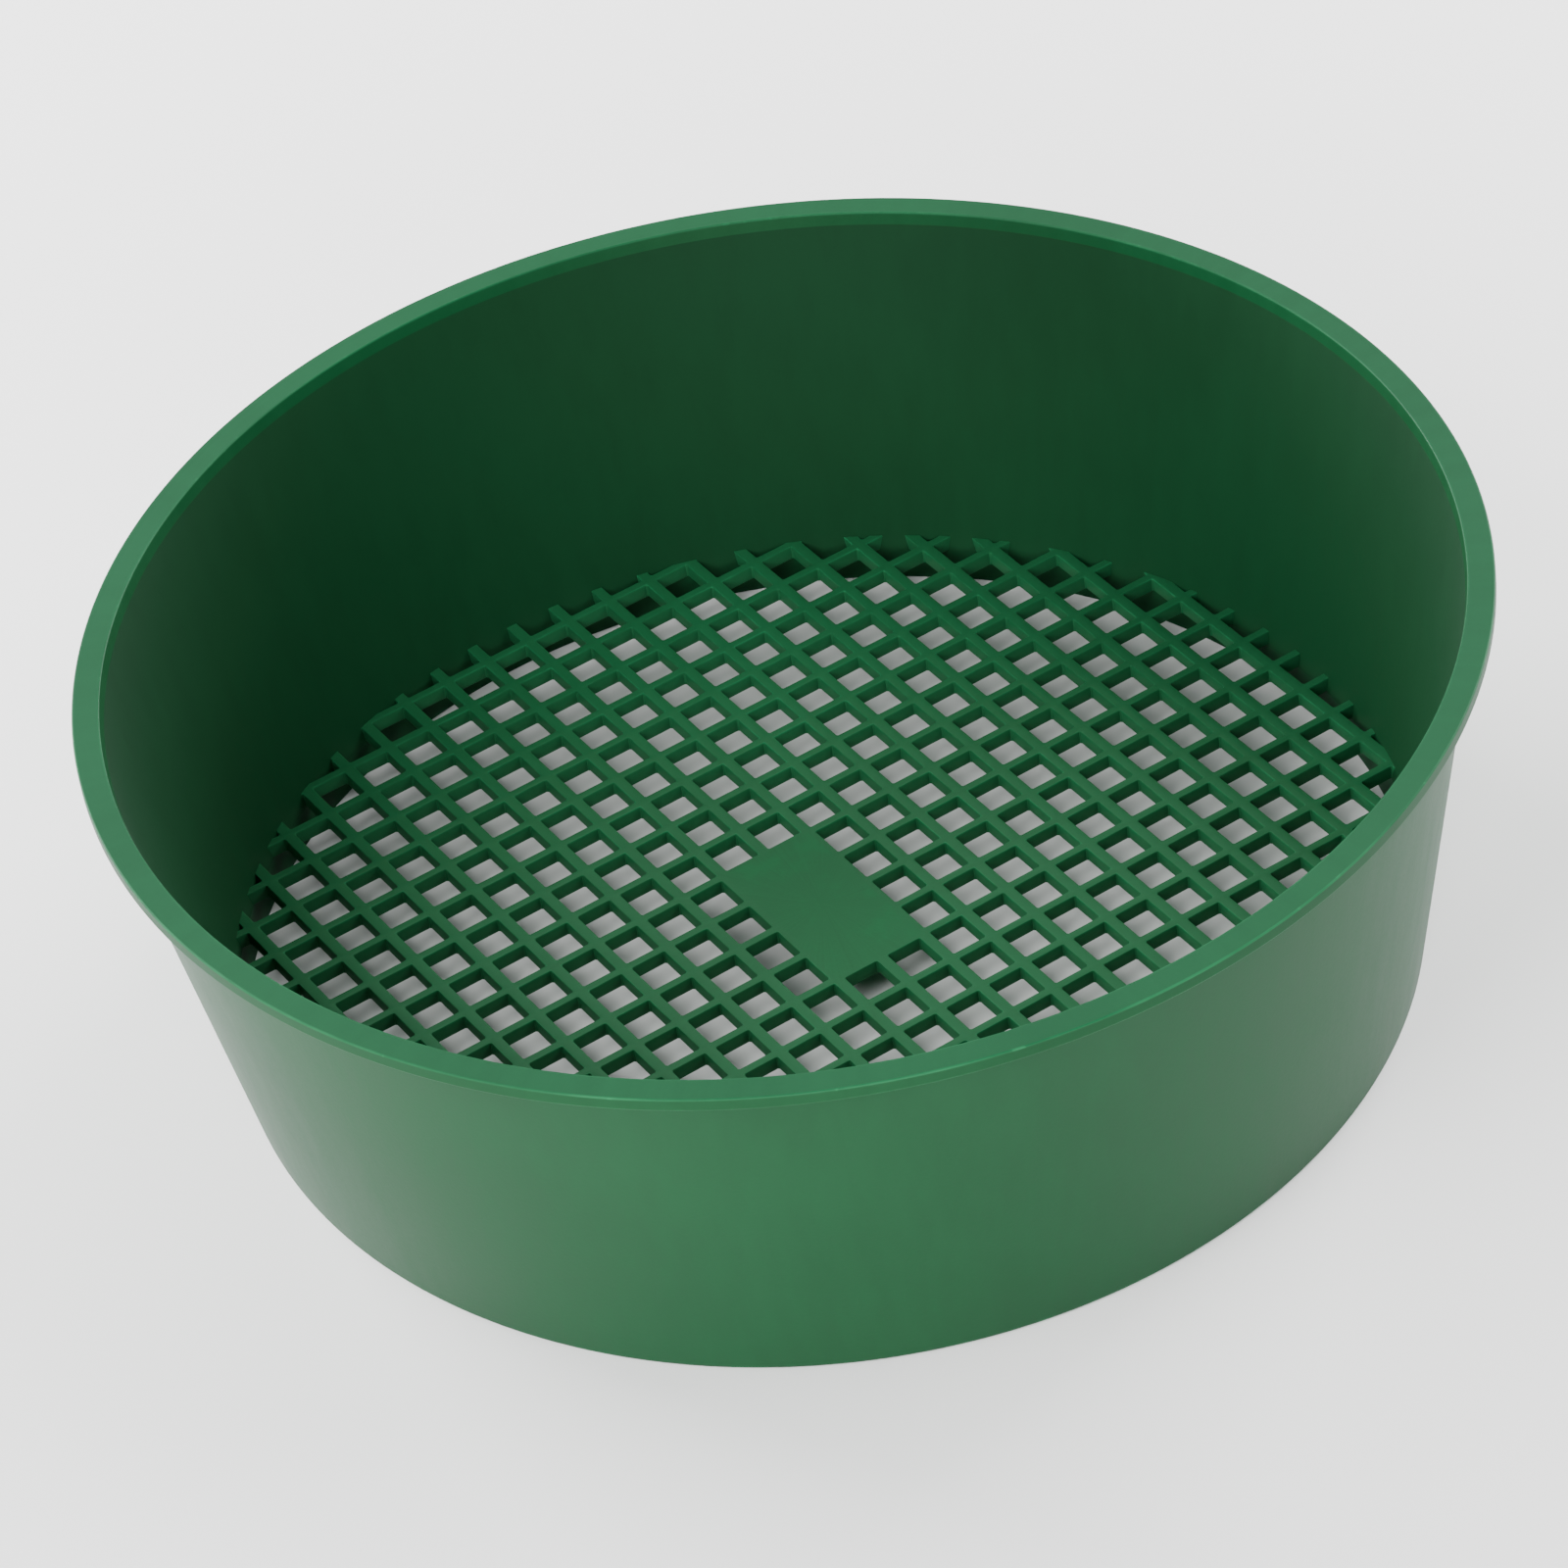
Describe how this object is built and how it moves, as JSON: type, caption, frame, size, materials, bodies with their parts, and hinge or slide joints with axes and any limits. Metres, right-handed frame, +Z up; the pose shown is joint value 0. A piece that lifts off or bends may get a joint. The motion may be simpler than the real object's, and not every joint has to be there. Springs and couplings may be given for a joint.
{
  "type": "soil sieve",
  "caption": "Round tapered garden sieve of green moulded plastic, with an outward rim flange and a floor of square mesh raised above its base ring.",
  "frame": {"origin": "centre of the circle that the base skirt stands on, at ground level", "axes": "+Z up along the bowl's axis; the mesh bars run along X and Y; the long side of the centre plate lies along Y"},
  "size_m": [0.36, 0.36, 0.112],
  "materials": {
    "rim_plastic": "satin, through-coloured green polypropylene",
    "wall_plastic": "satin, through-coloured green polypropylene",
    "mesh_plastic": "satin, through-coloured green polypropylene, slightly duller than the wall"
  },
  "bodies": {
    "root": {"rim_flange": "rim_plastic", "side_wall": "wall_plastic", "base_skirt": "wall_plastic", "sieve_mesh": "mesh_plastic", "centre_plate": "mesh_plastic"}
  },
  "joints": []
}
